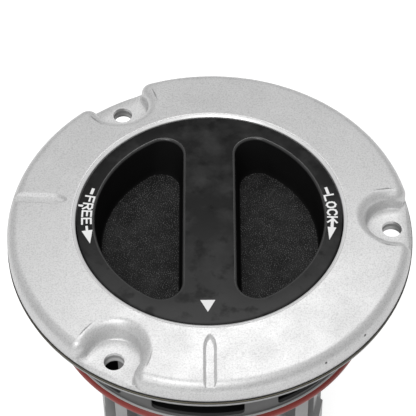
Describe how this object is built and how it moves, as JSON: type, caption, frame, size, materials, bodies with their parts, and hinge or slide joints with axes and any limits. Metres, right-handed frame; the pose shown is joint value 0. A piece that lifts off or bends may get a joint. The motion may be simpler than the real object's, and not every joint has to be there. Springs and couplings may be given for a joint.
{
  "type": "manual locking hub",
  "caption": "Manual locking hub: a dial turned between two stops slides a toothed clutch ring that joins an axle shaft to the wheel.",
  "frame": {"origin": "centre of the bolt circle on the flange's seating face, on the spin axis", "axes": "+Z along the spin axis, out of the wheel and towards the dial; +X through one bolt hole"},
  "size_m": [0.1124, 0.1124, 0.105],
  "materials": {
    "cast_aluminium": "fine cast, satin silver",
    "gasket_fibre": "matt fibre sheet",
    "cage_metal": "dark grey, satin",
    "red_rubber": "smooth red",
    "washer_steel": "ground",
    "body_steel": "machined, satin",
    "black_rubber": "smooth black",
    "screw_steel": "blackened",
    "bush_bronze": "plain bearing bronze",
    "dial_plastic": "black, satin",
    "cam_plastic": "black",
    "follower_steel": "machined",
    "spring_steel": "oiled spring steel"
  },
  "bodies": {
    "housing": {"cover": "cast_aluminium", "cover_gasket": "gasket_fibre", "cage": "cage_metal", "cage_seal": "red_rubber", "sleeve_washer": "washer_steel", "splined_body": "body_steel", "body_seal": "black_rubber", "body_screws": "screw_steel", "hub_bush": "bush_bronze", "spring_seat": "washer_steel", "return_spring": "spring_steel"},
    "dial": {"dial": "dial_plastic", "dial_seal": "black_rubber", "cam_sleeve": "cam_plastic"},
    "clutch": {"follower": "follower_steel", "follower_pins": "screw_steel", "clutch_ring": "follower_steel", "clutch_clip": "spring_steel"},
    "hub": {"drive_hub": "body_steel", "hub_thrust_washer": "bush_bronze", "hub_clip": "spring_steel"}
  },
  "joints": [
    {"name": "dial_turn", "type": "hinge", "parent": "housing", "child": "dial", "pos_m": [0, 0, 0.0102], "axis": [0, 0, 1], "range_deg": [-99.4, 0]},
    {"name": "clutch_slide", "type": "slide", "parent": "housing", "child": "clutch", "axis": [0, 0, 1], "range_m": [-0.007, 0], "deforming": ["return_spring"]},
    {"name": "hub_spin", "type": "hinge", "parent": "housing", "child": "hub", "pos_m": [0, 0, -0.08], "axis": [0, 0, 1], "continuous": true}
  ],
  "couplings": [
    {"joint": "clutch_slide", "follows": "dial_turn", "m_per_rad": 0.0040345}
  ]
}
